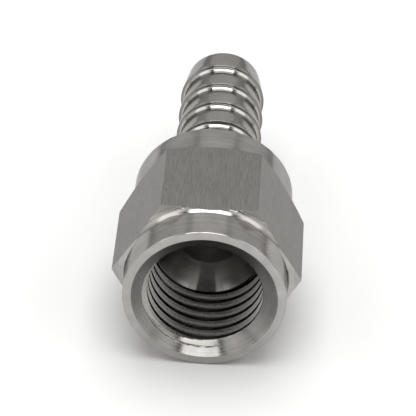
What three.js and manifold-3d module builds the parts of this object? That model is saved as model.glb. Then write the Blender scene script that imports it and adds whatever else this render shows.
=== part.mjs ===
// Hose barb with a swivel flare nut, in stainless steel, for small-bore carbon dioxide lines.
//
// Two turned pieces. The swivel nut is a 9/16 inch hexagon with a round collar at each end; its
// mouth is countersunk and threaded 7/16-20 UNF for a 1/4 inch flare. The barbed stem is a tube
// with a cylindrical head at one end, which holds the 45 degree flare seat, and four hose barbs at
// the other. The stem goes in through the mouth, barbs first, until the head meets the shoulder
// inside the nut, and the nut turns freely on it.
//
// Millimetres, +Z up. The part lies on one flat of the hexagon, at z = 0, with its bore along +Y:
// the mouth faces -Y and the barbs point to +Y. The origin is under the middle of its length.
// Stations along the bore are measured from the mouth.

import * as THREE from "three";
import { mergeVertices } from "three/addons/utils/BufferGeometryUtils.js";
import Module from "manifold-3d";

// ---- Swivel nut ----
const HEX_FLATS = 14.2875; // across flats, 9/16 inch
const NUT_LENGTH = 15.6;
const FRONT_COLLAR_R = 7.05;
const REAR_COLLAR_R = 7.12; // just under the flats
const COLLAR_EDGE = [0.1, 0.12]; // radial and axial size of the collars' rounded edges
const FRONT_COLLAR_END = 2.84;
const RELIEF_ROUND = 0.6; // the tool's round between the front collar and the hexagon
const FRONT_FACE_LEAN = Math.PI / 36; // the hexagon's front face leans back by 5 degrees
const REAR_CORNER = 11.9; // where the hexagon's corners start to be chamfered
const REAR_CHAMFER_SLOPE = 0.65; // length per mm of radius
const COUNTERSINK_R = 6.3;
const COUNTERSINK_SLOPE = 0.6; // depth per mm of radius, an included angle of 118 degrees
const SHOULDER = 12.2; // the inner face that the stem's head pulls against
const REAR_HOLE_R = 4.1;
const REAR_HOLE_CHAMFER = 0.3;

// ---- 7/16-20 UNF internal thread ----
const PITCH = 25.4 / 20;
const THREAD_MAJOR_R = 11.1125 / 2;
const THREAD_MINOR_R = 5; // the tap drill, which runs on to the shoulder
const THREAD_START = -1.49; // where the groove's middle would cross the top, before the mouth
const THREAD_END = 8.3;
const THREAD_ROOT_FLAT = PITCH / 8;
const FLANK_SLOPE = Math.tan(Math.PI / 6); // 60 degree thread
const THREAD_BURIED = 0.25; // how far the cutter reaches inside the tap drill

// ---- Barbed stem ----
const BORE_R = 2.75;
const SEAT_FACE = 7.05; // the head's front face
const SEAT_R = 4.6; // the flare seat's wide end
const HEAD_R = 4.8;
const HEAD_EDGE = 0.1;
const HEAD_END = 12;
const JOURNAL_R = 3.95; // the nut turns here; the barbs' crests have the same radius
const ROOT_R = 3.55;
const ROOT_ROUND = JOURNAL_R - ROOT_R; // the step is a quarter round up to the crest
const FIRST_BARB = 21.6; // the step nearest the nut
const BARB_PITCH = 3.14;
const BARBS = 4;
const BARB_TAPER = (8 * Math.PI) / 180; // from a crest down to the next root
const STEM_END = 34.2;
const NOSE_R = 3.5; // the rounded end's outer radius
const NOSE_ROUND = 0.34;
const BORE_EDGE = 0.15;

// ---- Facets ----
const AROUND = 48;
const THREAD_AROUND = 36;
const ROUND_STEPS = 4;

const AXIS_HEIGHT = HEX_FLATS / 2;
const CORNER_R = HEX_FLATS / Math.sqrt(3);
const PAST = 1; // how far cutters reach past the faces they open

const wasm = await Module();
wasm.setup();

// A three.js geometry as a manifold-3d solid.
function toSolid(geometry) {
  const bare = geometry.clone();
  bare.deleteAttribute("normal");
  bare.deleteAttribute("uv");
  const merged = mergeVertices(bare, 1e-4);
  return new wasm.Manifold(
    new wasm.Mesh({
      numProp: 3,
      vertProperties: merged.attributes.position.array,
      triVerts: new Uint32Array(merged.index.array),
    }),
  );
}

// A manifold-3d solid as a three.js geometry.
function toGeometry(solid) {
  const mesh = solid.getMesh();
  const positions = new Float32Array(mesh.numVert * 3);
  for (let i = 0; i < mesh.numVert; i++) {
    const start = i * mesh.numProp;
    positions.set(mesh.vertProperties.subarray(start, start + 3), i * 3);
  }
  const indexed = new THREE.BufferGeometry();
  indexed.setAttribute("position", new THREE.BufferAttribute(positions, 3));
  indexed.setIndex(new THREE.BufferAttribute(mesh.triVerts, 1));
  const faceted = indexed.toNonIndexed();
  faceted.computeVertexNormals();
  return faceted;
}

// A profile of [radius, station] points turned round the Y axis. A closed profile makes a tube.
function turned(points) {
  const profile = points.map(([radius, station]) => new THREE.Vector2(radius, station));
  return new THREE.LatheGeometry(profile, AROUND);
}

// Profile points on an arc of the given radial and axial size, from one angle to another. An angle
// of 0 points outwards along the radius, and 90 degrees towards the barbs.
function arc([radius, station], [radial, axial], from, to) {
  return Array.from({ length: ROUND_STEPS + 1 }, (_, i) => {
    const angle = from + ((to - from) * i) / ROUND_STEPS;
    return [radius + radial * Math.cos(angle), station + axial * Math.sin(angle)];
  });
}

// The hexagonal bar that the nut is turned from, with a flat at the top and bottom.
function hexBar() {
  const outline = new THREE.Shape();
  for (let i = 0; i < 6; i++) {
    const angle = (i * Math.PI) / 3;
    outline[i ? "lineTo" : "moveTo"](CORNER_R * Math.cos(angle), CORNER_R * Math.sin(angle));
  }
  const length = NUT_LENGTH + 2 * PAST;
  const bar = new THREE.ExtrudeGeometry(outline, { depth: length, bevelEnabled: false });
  return bar.rotateX(-Math.PI / 2).translate(0, -PAST, 0);
}

// What the lathe leaves of the bar: the two collars, the relief and the chamfered hexagon.
function nutEnvelope() {
  const outside = CORNER_R + PAST;
  const [edgeRadial, edgeAxial] = COLLAR_EDGE;
  const frontCentre = [FRONT_COLLAR_R - edgeRadial, edgeAxial];
  const frontEdge = arc(frontCentre, COLLAR_EDGE, -Math.PI / 2, 0);
  const rearCentre = [REAR_COLLAR_R - edgeRadial, NUT_LENGTH - edgeAxial];
  const rearEdge = arc(rearCentre, COLLAR_EDGE, 0, Math.PI / 2);
  const reliefCentre = [FRONT_COLLAR_R + RELIEF_ROUND, FRONT_COLLAR_END];
  const reliefEnd = Math.PI / 2 + FRONT_FACE_LEAN;
  const relief = arc(reliefCentre, [RELIEF_ROUND, RELIEF_ROUND], Math.PI, reliefEnd);
  const [faceR, faceStart] = relief.at(-1);
  return turned([
    [0, 0],
    ...frontEdge,
    ...relief,
    [outside, faceStart + (outside - faceR) * Math.tan(FRONT_FACE_LEAN)],
    [outside, REAR_CORNER - PAST * REAR_CHAMFER_SLOPE],
    [REAR_COLLAR_R, REAR_CORNER + (CORNER_R - REAR_COLLAR_R) * REAR_CHAMFER_SLOPE],
    ...rearEdge,
    [0, NUT_LENGTH],
  ]);
}

// The countersink, tap drill and rear hole in one cutter.
function nutBore() {
  const countersinkDepth = (COUNTERSINK_R - THREAD_MINOR_R) * COUNTERSINK_SLOPE;
  return turned([
    [0, -PAST],
    [COUNTERSINK_R, -PAST],
    [COUNTERSINK_R, 0],
    [THREAD_MINOR_R, countersinkDepth],
    [THREAD_MINOR_R, SHOULDER],
    [REAR_HOLE_R, SHOULDER],
    [REAR_HOLE_R, NUT_LENGTH - REAR_HOLE_CHAMFER],
    [REAR_HOLE_R + REAR_HOLE_CHAMFER, NUT_LENGTH],
    [REAR_HOLE_R + REAR_HOLE_CHAMFER, NUT_LENGTH + PAST],
    [0, NUT_LENGTH + PAST],
  ]);
}

// The thread groove's cutter: a straight bar of the groove's section, x being its station and y its
// radius, wound round the Y axis into a right-handed helix.
function threadCutter() {
  const rootHalf = THREAD_ROOT_FLAT / 2;
  const buriedR = THREAD_MINOR_R - THREAD_BURIED;
  const buriedHalf = rootHalf + (THREAD_MAJOR_R - buriedR) * FLANK_SLOPE;
  const section = new THREE.Shape([
    new THREE.Vector2(-buriedHalf, buriedR),
    new THREE.Vector2(buriedHalf, buriedR),
    new THREE.Vector2(rootHalf, THREAD_MAJOR_R),
    new THREE.Vector2(-rootHalf, THREAD_MAJOR_R),
  ]);
  const turns = (THREAD_END - THREAD_START) / PITCH;
  const bar = new THREE.ExtrudeGeometry(section, {
    depth: turns,
    steps: Math.round(turns * THREAD_AROUND),
    bevelEnabled: false,
  });
  const at = bar.getAttribute("position");
  for (let i = 0; i < at.count; i++) {
    const radius = at.getY(i);
    const turn = at.getZ(i);
    const angle = 2 * Math.PI * turn;
    const station = at.getX(i) + PITCH * turn + THREAD_START;
    at.setXYZ(i, radius * Math.sin(angle), station, radius * Math.cos(angle));
  }
  return bar;
}

function swivelNut() {
  const blank = toSolid(hexBar()).intersect(toSolid(nutEnvelope()));
  const bored = blank.subtract(toSolid(nutBore()));
  return toGeometry(bored.subtract(toSolid(threadCutter())));
}

// The step that starts a barb: a quarter round from the end of the taper before it to the crest.
// The barb's own taper runs from the crest to the next step.
function barbStep(crest) {
  const centre = [JOURNAL_R, crest - ROOT_ROUND];
  return arc(centre, [ROOT_ROUND, ROOT_ROUND], Math.PI + BARB_TAPER, Math.PI / 2);
}

function barbedStem() {
  const seatDepth = SEAT_R - BORE_R; // a 45 degree seat
  const steps = Array.from({ length: BARBS }, (_, i) => FIRST_BARB + i * BARB_PITCH);
  const noseCentre = [NOSE_R - NOSE_ROUND, STEM_END - NOSE_ROUND];
  const lastTaper = Math.atan2(JOURNAL_R - NOSE_R, noseCentre[1] - steps.at(-1));
  const profile = [
    [BORE_R, SEAT_FACE + seatDepth],
    [SEAT_R, SEAT_FACE],
    [HEAD_R - HEAD_EDGE, SEAT_FACE],
    [HEAD_R, SEAT_FACE + HEAD_EDGE],
    [HEAD_R, HEAD_END - HEAD_EDGE],
    [HEAD_R - HEAD_EDGE, HEAD_END],
    [JOURNAL_R, HEAD_END],
    [JOURNAL_R, FIRST_BARB - BARB_PITCH],
    ...steps.flatMap(barbStep),
    ...arc(noseCentre, [NOSE_ROUND, NOSE_ROUND], lastTaper, Math.PI / 2),
    [BORE_R + BORE_EDGE, STEM_END],
    [BORE_R, STEM_END - BORE_EDGE],
  ];
  return turned([...profile, profile[0]]);
}

function piece(name, geometry, colour, roughness) {
  const material = new THREE.MeshStandardMaterial({ color: colour, roughness, metalness: 1 });
  const mesh = new THREE.Mesh(geometry, material);
  mesh.name = name;
  return mesh;
}

const fitting = new THREE.Group();
fitting.add(piece("swivel_nut", swivelNut(), 0x9b9894, 0.35));
fitting.add(piece("barbed_stem", barbedStem(), 0xa3a09c, 0.28));
fitting.position.set(0, -STEM_END / 2, AXIS_HEIGHT);

export default fitting;
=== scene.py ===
# The look of the swivel hose barb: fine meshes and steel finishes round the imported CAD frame.
#
# Both pieces are turned on one axis, so every point is given by a station along the bore, measured
# from the nut's mouth, a radius and an angle round the bore, where 0 is the top and 90 degrees is
# +X. Sizes are in millimetres until a mesh is made.

import math

import bmesh
import bpy
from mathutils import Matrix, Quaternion, Vector


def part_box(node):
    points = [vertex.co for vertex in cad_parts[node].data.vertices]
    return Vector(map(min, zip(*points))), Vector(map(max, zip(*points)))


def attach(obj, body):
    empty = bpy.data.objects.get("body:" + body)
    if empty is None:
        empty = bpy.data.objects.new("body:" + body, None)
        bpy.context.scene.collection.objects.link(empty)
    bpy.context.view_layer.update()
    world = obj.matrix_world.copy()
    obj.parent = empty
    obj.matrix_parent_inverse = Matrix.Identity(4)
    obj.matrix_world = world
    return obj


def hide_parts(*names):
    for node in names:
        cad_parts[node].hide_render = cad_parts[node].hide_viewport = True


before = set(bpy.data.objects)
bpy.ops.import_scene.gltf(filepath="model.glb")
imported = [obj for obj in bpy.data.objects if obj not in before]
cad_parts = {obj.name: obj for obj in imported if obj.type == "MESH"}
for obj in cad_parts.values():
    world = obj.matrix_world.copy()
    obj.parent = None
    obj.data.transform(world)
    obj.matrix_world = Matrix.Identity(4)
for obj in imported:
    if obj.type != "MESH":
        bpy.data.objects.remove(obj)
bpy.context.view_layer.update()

MM = 0.001

# ---- Swivel nut ----
HEX_FLATS = 14.2875
HEX_CORNER_ROUND = 0.1
NUT_LENGTH = 15.6
FRONT_COLLAR_R = 7.05
REAR_COLLAR_R = 7.12
COLLAR_EDGE = (0.1, 0.12)  # full radial and axial size of the collars' rounded edges
EDGE_SHARE = 0.6  # how much of that size they have on average: they were broken by hand
EDGE_RIPPLE = 0.13
EDGE_RIPPLES = ((23, 0.3), (37, 1.9), (61, 4.0))  # each one's waves round the bore and phase
FRONT_COLLAR_END = 2.84
RELIEF_ROUND = 0.6
FRONT_FACE_LEAN = math.radians(5)
REAR_CORNER = 11.9
REAR_CHAMFER_SLOPE = 0.65
COUNTERSINK_R = 6.3
COUNTERSINK_SLOPE = 0.6
SHOULDER = 12.2
REAR_HOLE_R = 4.1
REAR_HOLE_CHAMFER = 0.3

# ---- 7/16-20 UNF internal thread ----
PITCH = 25.4 / 20
THREAD_MAJOR_R = 11.1125 / 2
THREAD_MINOR_R = 5
THREAD_START = -1.49  # where the groove's middle would cross the top, before the mouth
THREAD_END = 8.3
THREAD_ROOT_FLAT = PITCH / 8
FLANK_SLOPE = math.tan(math.radians(30))
RUN_OUT_SLOPE = 1.3  # radius that the groove loses per mm where it ends
PLAIN_MOUTH = 0.8  # the countersink and the flank beside it share one finish, down to here

# ---- Barbed stem ----
BORE_R = 2.75
SEAT_FACE = 7.05
SEAT_R = 4.6
HEAD_R = 4.8
HEAD_EDGE = 0.1
HEAD_END = 12
JOURNAL_R = 3.95
ROOT_R = 3.55
ROOT_ROUND = JOURNAL_R - ROOT_R
FIRST_BARB = 21.6
BARB_PITCH = 3.14
BARBS = 4
BARB_TAPER = math.radians(8)
CREST_ROUND = 0.02
STEP_DEPTH = 0.1  # how far the painted shade on a barb's step reaches from its crest, in place of the dark reflection there
STEM_END = 34.2
NOSE_R = 3.5
NOSE_ROUND = 0.34
BORE_EDGE = 0.15

# ---- Mesh density ----
FLAT_COLUMNS = 26  # columns across one flat of the hexagon
CORNER_COLUMNS = 6  # columns round one corner of it
RELIEF_STEPS = 14  # rows from the front collar out to a flat or a corner of the hexagon
FACE_ROWS = 4  # how many of those are on the hexagon's front face, where it has one
THREAD_ROWS = 40  # rows to one pitch
STEM_COLUMNS = 160
LONGEST_STRETCH = 0.8  # on the stem's profile
ROUND_STEPS = 8
SMALL_ROUND_STEPS = 4
HEAD_EDGE_STEPS = 3
HARD_EDGE = math.radians(28)  # an edge that turns by more stays sharp
NEAR = 1e-6  # two lengths in millimetres that differ by less are taken as equal
MERGE_DISTANCE = 5e-8  # metres
SAME_POINT = 1e-8  # metres

# ---- Material slots ----
TURNED, DRAWN, BORED, TAPPED, FACED = range(5)  # on the nut
OUTSIDE, DRILLED, SEAT, STEP = range(4)  # on the stem

HEX_R = HEX_FLATS / 2
CORNER_R = HEX_FLATS / math.sqrt(3)
CRESTS = [FIRST_BARB + i * BARB_PITCH for i in range(BARBS)]

nut_low, nut_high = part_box("swivel_nut")
AXIS = Vector((0, nut_low.y, (nut_low.z + nut_high.z) / 2))  # the bore at station 0
ALONG = Vector((0, 1, 0))


def at(radius, station, angle):
    """A point in the frame, in metres."""
    return AXIS + MM * Vector((radius * math.sin(angle), station, radius * math.cos(angle)))


def arc(centre, size, start, end, steps=ROUND_STEPS):
    """Profile points on an arc. Angle 0 points outwards and 90 degrees towards the barbs."""
    radius, station = centre
    radial, axial = size
    angles = [start + (end - start) * i / steps for i in range(steps + 1)]
    return [(radius + radial * math.cos(a), station + axial * math.sin(a)) for a in angles]


def between(start, end, steps):
    """Points on a straight stretch of a profile, without its first point."""
    return [
        tuple(a + (b - a) * i / steps for a, b in zip(start, end))
        for i in range(1, steps + 1)
    ]


# ---- Meshes ----
def to_object(name, bm, materials):
    """A closed bmesh as a smooth object, with its hard edges kept."""
    bmesh.ops.remove_doubles(bm, verts=bm.verts, dist=MERGE_DISTANCE)
    bmesh.ops.recalc_face_normals(bm, faces=bm.faces)
    mesh = bpy.data.meshes.new(name)
    bm.to_mesh(mesh)
    bm.free()
    mesh.shade_smooth()
    mesh.set_sharp_from_angle(angle=HARD_EDGE)
    for material in materials:
        mesh.materials.append(material)
    made = bpy.data.objects.new(name, mesh)
    bpy.context.scene.collection.objects.link(made)
    return made


def add_quad(bm, corners, material):
    """A face through the corners that differ. Nothing is added where fewer than three do."""
    distinct = []
    for corner in corners:
        if all((corner.co - other.co).length > SAME_POINT for other in distinct):
            distinct.append(corner)
    if len(distinct) > 2:
        face = bm.faces.new(distinct)
        face.material_index = material


def skin(bm, rings, materials):
    """Faces between each ring and the next. The rings are lists of vertices, one per column, and
    the materials are lists of slots, one per face."""
    columns = len(rings[0])
    for ring, following, row in zip(rings, rings[1:], materials):
        for j in range(columns):
            k = (j + 1) % columns
            add_quad(bm, (ring[j], ring[k], following[k], following[j]), row[j])


# ---- Swivel nut ----
def nut_columns():
    """Angles round the nut, closer together at the hexagon's six corners. The top is a flat."""
    sixth = math.pi / 3
    half_corner = math.asin(HEX_CORNER_ROUND / 2 / CORNER_R)
    angles = []
    for side in range(6):
        corner = (side - 0.5) * sixth
        angles += [
            corner + half_corner * (2 * i / CORNER_COLUMNS - 1) for i in range(CORNER_COLUMNS)
        ]
        span = sixth - 2 * half_corner
        angles += [corner + half_corner + span * i / FLAT_COLUMNS for i in range(FLAT_COLUMNS)]
    return [angle % (2 * math.pi) for angle in angles]


def hex_radius(angle):
    """The hexagon's radius at an angle, with its corners rounded."""
    sixth = math.pi / 3
    off_flat = (angle + sixth / 2) % sixth - sixth / 2
    off_corner = sixth / 2 - abs(off_flat)
    centre_r = CORNER_R - HEX_CORNER_ROUND / math.cos(sixth / 2)
    reach = HEX_CORNER_ROUND**2 - (centre_r * math.sin(off_corner)) ** 2
    flat_r = HEX_R / math.cos(off_flat)
    if reach <= 0:
        return flat_r
    round_r = centre_r * math.cos(off_corner) + math.sqrt(reach)
    return min(flat_r, round_r)


def relief_end_r():
    """The radius where the relief's round meets the hexagon's front face."""
    return FRONT_COLLAR_R + RELIEF_ROUND * (1 - math.sin(FRONT_FACE_LEAN))


def relief_to(radius):
    """The profile from the front collar's end out to a radius on the relief or past it, on the
    hexagon's front face."""
    centre = (FRONT_COLLAR_R + RELIEF_ROUND, FRONT_COLLAR_END)
    size = (RELIEF_ROUND, RELIEF_ROUND)
    past_relief = radius - relief_end_r()
    if past_relief <= 0:
        turn = math.acos(1 - (radius - FRONT_COLLAR_R) / RELIEF_ROUND)
        return arc(centre, size, math.pi, math.pi - turn, RELIEF_STEPS)
    curve = arc(centre, size, math.pi, math.pi / 2 + FRONT_FACE_LEAN, RELIEF_STEPS - FACE_ROWS)
    face_end = (radius, curve[-1][1] + past_relief * math.tan(FRONT_FACE_LEAN))
    return curve + between(curve[-1], face_end, FACE_ROWS)


def edge_share(angle):
    """The part of its full size that a collar's edge has at an angle."""
    ripples = sum(math.sin(waves * angle + phase) for waves, phase in EDGE_RIPPLES)
    return EDGE_SHARE + EDGE_RIPPLE * ripples


def nut_outside(angle):
    """The nut's profile at an angle, from the mouth's edge over the outside and through the rear
    hole to the thread's end, and the finish of each stretch of it."""
    flat_r = hex_radius(angle)
    radial, axial = (size * edge_share(angle) for size in COLLAR_EDGE)
    front_centre = (FRONT_COLLAR_R - radial, axial)
    front = [(COUNTERSINK_R, 0), *between((COUNTERSINK_R, 0), (front_centre[0], 0), steps=3)]
    front += arc(front_centre, (radial, axial), -math.pi / 2, 0)[1:]
    front += between(front[-1], (FRONT_COLLAR_R, FRONT_COLLAR_END), steps=6)
    front += relief_to(flat_r)[1:]
    rear_corner = REAR_CORNER + (CORNER_R - flat_r) * REAR_CHAMFER_SLOPE
    flat = between(front[-1], (flat_r, rear_corner), steps=10)
    collar_start = REAR_CORNER + (CORNER_R - REAR_COLLAR_R) * REAR_CHAMFER_SLOPE
    rear_centre = (REAR_COLLAR_R - radial, NUT_LENGTH - axial)
    rear = between(flat[-1], (REAR_COLLAR_R, collar_start), steps=5)
    rear += between(rear[-1], (REAR_COLLAR_R, rear_centre[1]), steps=6)
    rear += arc(rear_centre, (radial, axial), 0, math.pi / 2)[1:]
    hole_edge = (REAR_HOLE_R + REAR_HOLE_CHAMFER, NUT_LENGTH)
    rear += between(rear[-1], hole_edge, steps=8)
    inside = between(hole_edge, (REAR_HOLE_R, NUT_LENGTH - REAR_HOLE_CHAMFER), steps=2)
    inside += between(inside[-1], (REAR_HOLE_R, SHOULDER), steps=6)
    inside += between(inside[-1], (THREAD_MINOR_R, SHOULDER), steps=3)
    inside += between(inside[-1], (THREAD_MINOR_R, THREAD_END), steps=8)
    points = front + flat + rear + inside
    face_rows = FACE_ROWS if flat_r > relief_end_r() else 0
    finishes = [TURNED] * (len(front) - 1 - face_rows) + [FACED] * face_rows
    finishes += [DRAWN] * len(flat)
    finishes += [TURNED] * len(rear) + [BORED] * len(inside)
    return points, finishes


def mouth_radius(angle, station):
    """The threaded mouth's radius: the widest of the countersink, the thread and the tap drill."""
    countersink = COUNTERSINK_R - station / COUNTERSINK_SLOPE
    middle = THREAD_START + PITCH * angle / (2 * math.pi)
    off_groove = abs((station - middle + PITCH / 2) % PITCH - PITCH / 2)
    run_out = max(0.0, station - (THREAD_END - PITCH / 2)) * RUN_OUT_SLOPE
    groove = THREAD_MAJOR_R - max(0.0, off_groove - THREAD_ROOT_FLAT / 2) / FLANK_SLOPE
    return max(countersink, THREAD_MINOR_R, groove - run_out)


def mouth_rings(bm, columns, start_ring, end_ring):
    """The threaded mouth as rows that follow the thread, so its crests are smooth. The last column
    meets the first one pitch further on, and rows past either end lie on the ring there."""
    step = PITCH / THREAD_ROWS
    rows = math.ceil(THREAD_END / step) + THREAD_ROWS
    grid = []
    tapped = set()
    for i in range(rows + 1):
        row = []
        for j, angle in enumerate(columns):
            station = i * step + PITCH * (angle / (2 * math.pi) - 1)
            if station <= NEAR:
                row.append(start_ring[j])
            elif station >= THREAD_END - NEAR:
                row.append(end_ring[j])
            else:
                radius = mouth_radius(angle, station)
                row.append(bm.verts.new(at(radius, station, angle)))
                if radius > THREAD_MINOR_R and station > PLAIN_MOUTH:
                    tapped.add(row[-1])
        grid.append(row)
    for i in range(rows):
        for j in range(len(columns)):
            if j + 1 < len(columns):
                near, far = grid[i][j + 1], grid[i + 1][j + 1]
            else:
                near = grid[min(i + THREAD_ROWS, rows)][0]
                far = grid[min(i + 1 + THREAD_ROWS, rows)][0]
            corners = (grid[i][j], near, far, grid[i + 1][j])
            in_groove = any(corner in tapped for corner in corners)
            add_quad(bm, corners, TAPPED if in_groove else BORED)


def swivel_nut(materials):
    bm = bmesh.new()
    columns = sorted(nut_columns())
    profiles = [nut_outside(angle) for angle in columns]
    count = len(profiles[0][0])
    rings = [
        [bm.verts.new(at(*points[i], angle)) for (points, _), angle in zip(profiles, columns)]
        for i in range(count)
    ]
    skin(bm, rings, list(zip(*(finishes for _, finishes in profiles))))
    mouth_rings(bm, columns, rings[0], rings[-1])
    return to_object("swivel_nut_skin", bm, materials)


# ---- Barbed stem ----
def barb_step(crest):
    """The quarter round in front of a crest, and the crest with its edge just broken."""
    centre = (JOURNAL_R, crest - ROOT_ROUND)
    root = arc(centre, (ROOT_ROUND,) * 2, math.pi + BARB_TAPER, math.pi / 2, 2 * ROUND_STEPS)
    edge_centre = (JOURNAL_R - CREST_ROUND, crest + CREST_ROUND)
    edge = arc(edge_centre, (CREST_ROUND,) * 2, -math.pi / 2, BARB_TAPER, SMALL_ROUND_STEPS)
    return root[:-1] + edge


def stem_profile():
    """The stem's closed profile, from the bore's seat end over the outside and back."""
    nose_centre = (NOSE_R - NOSE_ROUND, STEM_END - NOSE_ROUND)
    last_taper = math.atan2(JOURNAL_R - NOSE_R, nose_centre[1] - CRESTS[-1])
    edge = (HEAD_EDGE,) * 2
    head_edge_r = HEAD_R - HEAD_EDGE
    corners = [
        (BORE_R, SEAT_FACE + SEAT_R - BORE_R),
        (SEAT_R, SEAT_FACE),
        *arc((head_edge_r, SEAT_FACE + HEAD_EDGE), edge, -math.pi / 2, 0, HEAD_EDGE_STEPS),
        *arc((head_edge_r, HEAD_END - HEAD_EDGE), edge, 0, math.pi / 2, HEAD_EDGE_STEPS),
        (JOURNAL_R, HEAD_END),
        (JOURNAL_R, FIRST_BARB - BARB_PITCH),
    ]
    for crest in CRESTS:
        corners += barb_step(crest)
    corners += arc(nose_centre, (NOSE_ROUND,) * 2, last_taper, math.pi / 2)
    corners += [(BORE_R + BORE_EDGE, STEM_END), (BORE_R, STEM_END - BORE_EDGE)]
    profile = [corners[0]]
    for start, end in zip(corners, corners[1:] + corners[:1]):
        steps = max(1, math.ceil(math.dist(start, end) / LONGEST_STRETCH))
        profile += between(start, end, steps)
    return profile[:-1]


def stem_finish(start, end):
    """The finish of one stretch of the stem's profile."""
    if all(radius <= BORE_R + NEAR for radius, _ in (start, end)):
        return DRILLED
    if all(abs(radius + station - SEAT_FACE - SEAT_R) < NEAR for radius, station in (start, end)):
        return SEAT
    # Painted shade: the step's face next to a crest gets a darker finish, for the dark reflection
    # it shows.
    if any(crest - STEP_DEPTH < start[1] < crest - NEAR for crest in CRESTS):
        return STEP
    return OUTSIDE


def barbed_stem(materials):
    bm = bmesh.new()
    columns = [2 * math.pi * j / STEM_COLUMNS for j in range(STEM_COLUMNS)]
    profile = stem_profile()
    rings = [[bm.verts.new(at(*point, angle)) for angle in columns] for point in profile]
    finishes = [stem_finish(*ends) for ends in zip(profile, profile[1:] + profile[:1])]
    skin(bm, rings + rings[:1], [[finish] * STEM_COLUMNS for finish in finishes])
    return to_object("barbed_stem_skin", bm, materials)


# ---- Steel finishes ----
class Nodes:
    """Adds nodes to a material or a world and joins them."""

    def __init__(self, owner):
        owner.use_nodes = True
        self.tree = owner.node_tree

    def put(self, socket, value):
        if isinstance(value, bpy.types.NodeSocket):
            self.tree.links.new(value, socket)
        else:
            socket.default_value = value

    def math(self, operation, *values):
        node = self.tree.nodes.new("ShaderNodeMath")
        node.operation = operation
        for socket, value in zip(node.inputs, values):
            self.put(socket, value)
        return node.outputs[0]

    def vector(self, operation, *values):
        node = self.tree.nodes.new("ShaderNodeVectorMath")
        node.operation = operation
        for socket, value in zip(node.inputs, values):
            self.put(socket, value)
        return node.outputs[1 if operation == "LENGTH" else 0]

    def combine(self, x, y, z):
        node = self.tree.nodes.new("ShaderNodeCombineXYZ")
        for socket, value in zip(node.inputs, (x, y, z)):
            self.put(socket, value)
        return node.outputs[0]

    def split(self, vector):
        node = self.tree.nodes.new("ShaderNodeSeparateXYZ")
        self.put(node.inputs[0], vector)
        return node.outputs

    def noise(self, vector, scale, detail=2.0, roughness=0.5):
        node = self.tree.nodes.new("ShaderNodeTexNoise")
        self.put(node.inputs["Vector"], vector)
        node.inputs["Scale"].default_value = scale
        node.inputs["Detail"].default_value = detail
        node.inputs["Roughness"].default_value = roughness
        return node.outputs["Fac"]

    def spread(self, value, low, high, to_low, to_high):
        """A value mapped from low..high onto to_low..to_high, and held there at both ends."""
        node = self.tree.nodes.new("ShaderNodeMapRange")
        for socket, number in zip(node.inputs, (value, low, high, to_low, to_high)):
            self.put(socket, number)
        return node.outputs[0]

    def blend(self, share, first, second):
        """A number between two others, for heights and shades."""
        rest = self.math("MULTIPLY", first, 1 - share)
        return self.math("ADD", rest, self.math("MULTIPLY", second, share))

    def mix(self, share, first, second):
        node = self.tree.nodes.new("ShaderNodeMix")
        node.data_type = "RGBA"
        self.put(node.inputs["Factor"], share)
        self.put(node.inputs["A"], first)
        self.put(node.inputs["B"], second)
        return node.outputs["Result"]

    def bump(self, height, depth):
        """A normal that follows a height of 0 to 1. The depth is in millimetres."""
        node = self.tree.nodes.new("ShaderNodeBump")
        self.put(node.inputs["Height"], height)
        node.inputs["Strength"].default_value = 1
        node.inputs["Distance"].default_value = depth * MM
        return node.outputs[0]

    def from_axis(self):
        """Position on the piece, in millimetres from the bore at station 0."""
        place = self.tree.nodes.new("ShaderNodeTexCoord").outputs["Object"]
        return self.vector("MULTIPLY", self.vector("SUBTRACT", place, tuple(AXIS)), (1 / MM,) * 3)

    def round_the_bore(self):
        """The direction round the bore, for the grain."""
        place = self.tree.nodes.new("ShaderNodeNewGeometry").outputs["Position"]
        from_axis = self.vector("SUBTRACT", place, tuple(AXIS))
        return self.vector("CROSS_PRODUCT", tuple(ALONG), from_axis)


GRAZING_TINT = 0.6  # how much of its shine the steel keeps where it is seen edge on
ANISOTROPY = 0.5
ACROSS = 0.25  # a quarter turn, which lays the longer highlights across the grooves
WANDER = 0.12  # millimetres that a groove strays from its circle
MOUTH_SHADE_GREY = 0.06  # the grey of the painted shade inside the mouth, which stands in for dark reflections there
MOUTH_SHADE_HEIGHTS = (-4.6, -1.5)  # millimetres from the bore's axis, where the painted shade starts and is full
THREAD_SHADE_HEIGHTS = (-4.9, -1.5)  # where the painted shade low in the thread is full and has faded
CREST_EDGE = (0.15, 0.4)  # how far out from the crests the dark tone there is full and has faded
PIT_NOISE = (0.8, 0.84)  # only the noise's highest peaks are pits


def grey(level):
    """Stainless steel's faintly warm grey."""
    return (level, 0.973 * level, 0.93 * level, 1)


def steel(name):
    """A metal, its nodes and its shader, with its grain running round the bore."""
    material = bpy.data.materials.new(name)
    nodes = Nodes(material)
    shader = nodes.tree.nodes["Principled BSDF"]
    shader.inputs["Metallic"].default_value = 1
    shader.inputs["Specular Tint"].default_value = (GRAZING_TINT,) * 3 + (1,)
    nodes.put(shader.inputs["Tangent"], nodes.round_the_bore())
    return material, nodes, shader


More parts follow.
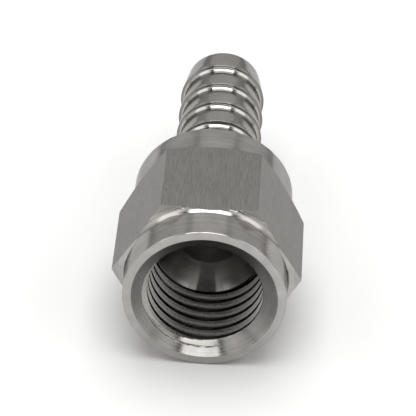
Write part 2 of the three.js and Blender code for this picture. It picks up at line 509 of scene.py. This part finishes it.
def turned_steel(
    name, light, dark, roughness, groove_depth, anisotropy=ANISOTROPY, painted_shade=0.0
):
    """Lathe-turned steel: fine grooves round the bore, which follow the profile, and faint stains.
    A share of painted shade darkens all but what is low in the bore; it stands in for the dark
    reflections of the shadowed floor in front of the mouth."""
    material, nodes, shader = steel(name)
    place = nodes.from_axis()
    x, station, z = nodes.split(place)
    radius = nodes.vector("LENGTH", nodes.combine(x, 0.0, z))
    stain = nodes.noise(place, scale=0.5, detail=3.0)
    wander = nodes.math("MULTIPLY", nodes.noise(place, scale=0.6, detail=1.0), WANDER)
    profile = (nodes.math("ADD", radius, wander), nodes.math("ADD", station, wander), 0.0)
    along = nodes.combine(*profile)
    fine = nodes.noise(along, scale=10.0, detail=3.0, roughness=0.7)
    coarse = nodes.noise(along, scale=3.0, detail=1.0)
    grooves = nodes.blend(0.35, fine, coarse)
    shade = nodes.blend(0.45, grooves, stain)
    colour = nodes.mix(nodes.spread(shade, 0.38, 0.62, 0, 1), dark, light)
    # Painted shade: darker above the bore's lower part, in place of dark reflections.
    mouth_shade_mask = nodes.spread(z, *MOUTH_SHADE_HEIGHTS, 0, painted_shade)
    nodes.put(shader.inputs["Base Color"], nodes.mix(mouth_shade_mask, colour, grey(MOUTH_SHADE_GREY)))
    nodes.put(shader.inputs["Roughness"], nodes.spread(grooves, 0.3, 0.7, *roughness))
    nodes.put(shader.inputs["Normal"], nodes.bump(grooves, groove_depth))
    shader.inputs["Anisotropic"].default_value = anisotropy
    shader.inputs["Anisotropic Rotation"].default_value = ACROSS
    return material


def tapped_steel(name, light, dark, roughness, tear_depth):
    """Tapped thread: torn and dull, darkest on the crests' edges and low in the bore, where the
    dark is painted shade in place of dark reflections.
    """
    material, nodes, shader = steel(name)
    place = nodes.from_axis()
    x, _, z = nodes.split(place)
    radius = nodes.vector("LENGTH", nodes.combine(x, 0.0, z))
    # Painted shade: the thread darkens towards the bottom of the bore, standing in for its dark
    # reflections.
    high = nodes.spread(z, *THREAD_SHADE_HEIGHTS, 0, 1)
    deep = nodes.spread(radius, *(THREAD_MINOR_R + depth for depth in CREST_EDGE), 0, 1)
    tone_and_painted_shade = nodes.math("ADD", nodes.math("MULTIPLY", deep, 0.8), high)
    torn = nodes.noise(place, scale=6.0, detail=3.0, roughness=0.6)
    patches = nodes.math("MULTIPLY", nodes.math("SUBTRACT", torn, 0.5), 0.8)
    tone_and_painted_shade = nodes.math("ADD", tone_and_painted_shade, patches)
    nodes.put(shader.inputs["Base Color"], nodes.mix(nodes.spread(tone_and_painted_shade, 0, 1, 0, 1), dark, light))
    nodes.put(shader.inputs["Roughness"], nodes.spread(torn, 0.3, 0.7, *roughness))
    nodes.put(shader.inputs["Normal"], nodes.bump(torn, tear_depth))
    return material


def drawn_steel(name, light, dark, pitted, roughness, streak_depth):
    """Cold-drawn bar: fine streaks along the bore, of uneven length, and a few pits."""
    material, nodes, shader = steel(name)
    place = nodes.from_axis()

    def streak(squeeze, scale, roughness=0.5):
        """Noise that is drawn out along the bore. The smaller the squeeze, the longer it is."""
        drawn_out = nodes.vector("MULTIPLY", place, (1.0, squeeze, 1.0))
        return nodes.noise(drawn_out, scale, roughness=roughness)

    fine = streak(squeeze=0.05, scale=15.0, roughness=0.6)
    medium = streak(squeeze=0.09, scale=5.5, roughness=0.6)
    broad = streak(squeeze=0.3, scale=0.8)
    streaks = nodes.blend(0.4, fine, medium)
    shade = nodes.blend(0.25, streaks, broad)
    pit = nodes.spread(nodes.noise(place, scale=4.5, detail=0.0), *PIT_NOISE, 0, 1)
    colour = nodes.mix(nodes.spread(shade, 0.36, 0.64, 0, 1), dark, light)
    nodes.put(shader.inputs["Base Color"], nodes.mix(pit, colour, pitted))
    nodes.put(shader.inputs["Roughness"], nodes.spread(streaks, 0.35, 0.65, *roughness))
    height = nodes.math("SUBTRACT", streaks, nodes.math("MULTIPLY", pit, 0.6))
    nodes.put(shader.inputs["Normal"], nodes.bump(height, streak_depth))
    shader.inputs["Anisotropic"].default_value = ANISOTROPY
    return material


# ---- Studio ----
def look_at(made, target, roll=0.0):
    """Turns a light or a camera to face a point."""
    made.rotation_mode = "QUATERNION"
    facing = (target - made.location).to_track_quat("-Z", "Y")
    made.rotation_quaternion = facing @ Quaternion((0, 0, 1), roll)


def direction(azimuth, elevation):
    """A unit vector. Azimuth 0 is towards the mouth's side, -Y, and 90 degrees towards +X."""
    return Vector(
        (
            math.sin(azimuth) * math.cos(elevation),
            -math.cos(azimuth) * math.cos(elevation),
            math.sin(elevation),
        )
    )


def softbox(name, facing, distance, width, height, radiance):
    """A rectangular light that looks equally bright all over, aimed at the part."""
    lamp = bpy.data.lights.new(name, "AREA")
    lamp.shape = "RECTANGLE"
    lamp.size = width
    lamp.size_y = height
    lamp.energy = radiance * math.pi * width * height
    made = bpy.data.objects.new(name, lamp)
    made.location = AXIS + facing.normalized() * distance
    look_at(made, AXIS)
    made.visible_camera = False
    bpy.context.scene.collection.objects.link(made)
    return made


# The tent over the part. Widths and depths are for a tent 1 high.
TENT_DEPTH = 1.55
STRIP_HALF = 0.43  # half the strip's width
SEAM_END = 0.6  # from the middle to the outer side of either seam
WAIST_AHEAD = 0.57  # how far ahead of the part the strip's narrow waist is
WAIST_HALF = 0.33
WAIST_REACH = (0.16, 0.2)  # how far from the waist's middle it starts to widen and has ended
WAIST_SEAM = 0.04  # how wide the seams are there
STRIP_BLUR = 0.02
SEAM_BLUR = 0.03
NEAR_FLOOR = 0.12  # the light fades below this height
NEAR_FLOOR_SHARE = 0.45

# How bright each part of the tent looks.
FRONT_STRIP = 0.07
BACK_STRIP = 0.67
FRONT_SIDES = 1.05
BACK_SIDES = 0.66
SEAM = 0.08
BACK_SEAM = 0.48
STRIP_CHANGE = (-0.05, 0.05)  # from where to where, along +Y, the front level turns to the back's
SIDES_CHANGE = (-0.6, 0.6)
SEAM_CHANGE = (0.3, 0.7)
TENT_COLOUR = (1, 0.985, 0.97, 1)

# The lamps: sizes and distances in metres, and how bright each one looks.
CEILING_HEIGHT = 0.5
CEILING_AHEAD = math.radians(27)  # how far it reaches from overhead, towards the mouth's side
CEILING_BEHIND = math.radians(36)
CEILING = 4.2
FRONT_ELEVATION = math.radians(22)
FRONT_DISTANCE = 0.6
FRONT_SIZE = (0.33, 0.17)
FRONT = 3.0
SIDE_LEAN = math.radians(48)  # from overhead, to either side
SIDE_DISTANCE = 0.5
SIDE_SIZE = (0.8, 0.22)
SIDE = 1.0


def light_tent():
    """The walls of a light tent. A strip runs over the part from front to back between two dark
    seams. In front it is dark too, with a narrow waist. The light is weak near the floor."""
    world = bpy.data.worlds.new("light_tent")
    nodes = Nodes(world)
    facing = nodes.tree.nodes.new("ShaderNodeTexCoord").outputs["Generated"]
    x, y, z = nodes.split(facing)
    reach = nodes.math("MAXIMUM", z, nodes.math("DIVIDE", nodes.math("ABSOLUTE", y), TENT_DEPTH))
    across = nodes.math("DIVIDE", nodes.math("ABSOLUTE", x), nodes.math("MAXIMUM", reach, 0.01))
    to_waist = nodes.math("ABSOLUTE", nodes.math("ADD", y, WAIST_AHEAD))
    waist = nodes.spread(to_waist, *WAIST_REACH, 1, 0)
    narrowed = nodes.math("MULTIPLY", waist, STRIP_HALF - WAIST_HALF)
    across = nodes.math("ADD", across, narrowed)
    inside = nodes.spread(across, STRIP_HALF - STRIP_BLUR, STRIP_HALF + STRIP_BLUR, 1, 0)
    narrowed = nodes.math("MULTIPLY", waist, SEAM_END - STRIP_HALF - WAIST_SEAM)
    seam_end = nodes.math("SUBTRACT", SEAM_END, narrowed)
    past_seam = nodes.math("SUBTRACT", across, seam_end)
    outside = nodes.spread(past_seam, -SEAM_BLUR, SEAM_BLUR, 0, 1)
    strip = nodes.spread(y, *STRIP_CHANGE, FRONT_STRIP, BACK_STRIP)
    sides = nodes.spread(y, *SIDES_CHANGE, FRONT_SIDES, BACK_SIDES)
    seam = nodes.spread(y, *SEAM_CHANGE, SEAM, BACK_SEAM)
    of_strip = nodes.math("MULTIPLY", inside, nodes.math("SUBTRACT", strip, seam))
    of_sides = nodes.math("MULTIPLY", outside, nodes.math("SUBTRACT", sides, seam))
    level = nodes.math("ADD", nodes.math("ADD", of_strip, of_sides), seam)
    near_floor = nodes.spread(z, 0.0, NEAR_FLOOR, NEAR_FLOOR_SHARE, 1)
    background = nodes.tree.nodes["Background"]
    background.inputs["Color"].default_value = TENT_COLOUR
    nodes.put(background.inputs["Strength"], nodes.math("MULTIPLY", level, near_floor))
    bpy.context.scene.world = world


def studio_light():
    light_tent()
    ahead = CEILING_HEIGHT * math.tan(CEILING_AHEAD)
    behind = CEILING_HEIGHT * math.tan(CEILING_BEHIND)
    ceiling_size = (2 * STRIP_HALF * CEILING_HEIGHT, ahead + behind)
    ceiling = softbox("ceiling", Vector((0, 0, 1)), CEILING_HEIGHT, *ceiling_size, CEILING)
    ceiling.location.y += (behind - ahead) / 2
    ceiling.rotation_quaternion = Quaternion((1, 0, 0, 0))  # level
    softbox("front", direction(0, FRONT_ELEVATION), FRONT_DISTANCE, *FRONT_SIZE, FRONT)
    for side in (-1, 1):
        facing = Vector((side * math.sin(SIDE_LEAN), 0, math.cos(SIDE_LEAN)))
        softbox("side", facing, SIDE_DISTANCE, *SIDE_SIZE, SIDE)


FLOOR_RADIUS = 2.0  # metres
FLOOR_GREY = 0.58


def floor():
    bpy.ops.mesh.primitive_circle_add(vertices=96, radius=FLOOR_RADIUS, fill_type="NGON")
    made = bpy.context.object
    made.name = "floor"
    material = bpy.data.materials.new("pale_paper")
    material.use_nodes = True
    shader = material.node_tree.nodes["Principled BSDF"]
    shader.inputs["Base Color"].default_value = (FLOOR_GREY,) * 3 + (1,)
    shader.inputs["Roughness"].default_value = 0.9
    shader.inputs["Specular IOR Level"].default_value = 0.1
    made.data.materials.append(material)


CAMERA_AZIMUTH = math.radians(1.56)
CAMERA_ELEVATION = math.radians(36.2)
CAMERA_ROLL = math.radians(2.49)
CAMERA_STATION = 10  # the camera's direction and distance are measured from here on the bore
CAMERA_DISTANCE = 225.4
CAMERA_AIM = (-0.4, 13.38, 0)  # from the bore at station 0
FOCAL_LENGTH = 220.16
SENSOR_WIDTH = 36


def camera():
    lens = bpy.data.cameras.new("camera")
    lens.lens = FOCAL_LENGTH
    lens.sensor_width = SENSOR_WIDTH
    lens.clip_start = 0.01
    made = bpy.data.objects.new("camera", lens)
    offset = CAMERA_DISTANCE * direction(CAMERA_AZIMUTH, CAMERA_ELEVATION)
    made.location = AXIS + MM * (CAMERA_STATION * ALONG + offset)
    look_at(made, AXIS + MM * Vector(CAMERA_AIM), CAMERA_ROLL)
    bpy.context.scene.collection.objects.link(made)
    bpy.context.scene.camera = made


camera()
studio_light()
floor()
bpy.context.scene.view_settings.view_transform = "Standard"

turned = turned_steel(
    "turned_steel", grey(0.45), grey(0.34), roughness=(0.13, 0.2), groove_depth=0.0012
)
drawn = drawn_steel(
    "drawn_steel",
    grey(0.305),
    grey(0.245),
    pitted=grey(0.1225),
    roughness=(0.24, 0.33),
    streak_depth=0.001,
)
# Bored steel: inside the mouth, all but its lower part is darkened with painted shade.
bored = turned_steel(
    "bored_steel",
    grey(0.36),
    grey(0.23),
    roughness=(0.12, 0.2),
    groove_depth=0.003,
    anisotropy=0.8,
    painted_shade=0.55,
)
tapped = tapped_steel(
    "tapped_steel", grey(0.4), grey(0.04), roughness=(0.35, 0.45), tear_depth=0.004
)
# The faced finish is rougher than the turned one; its slightly lighter grey is painted light,
# which lifts the hexagon's front face.
faced = turned_steel(
    "faced_steel", grey(0.48), grey(0.36), roughness=(0.4, 0.5), groove_depth=0.002
)
stem_steel = turned_steel(
    "stem_steel", grey(0.45), grey(0.36), roughness=(0.1, 0.17), groove_depth=0.001
)
drilled = turned_steel(
    "drilled_steel", grey(0.44), grey(0.3), roughness=(0.4, 0.55), groove_depth=0.004
)
# The seat's darker grey is painted shade: it darkens the seat, deep inside the nut, beyond what
# the lamps do.
seat = turned_steel(
    "seat_steel",
    grey(0.34),
    grey(0.2),
    roughness=(0.12, 0.16),
    groove_depth=0.002,
    anisotropy=0.95,
)
# A darker copy of the stem's steel: painted shade on the barbs' steps.
step = turned_steel(
    "shaded_step_steel", grey(0.3), grey(0.2), roughness=(0.12, 0.18), groove_depth=0.001
)

nut = swivel_nut([turned, drawn, bored, tapped, faced])
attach(nut, "nut")
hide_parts("swivel_nut")

stem = barbed_stem([stem_steel, drilled, seat, step])
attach(stem, "stem")
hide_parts("barbed_stem")
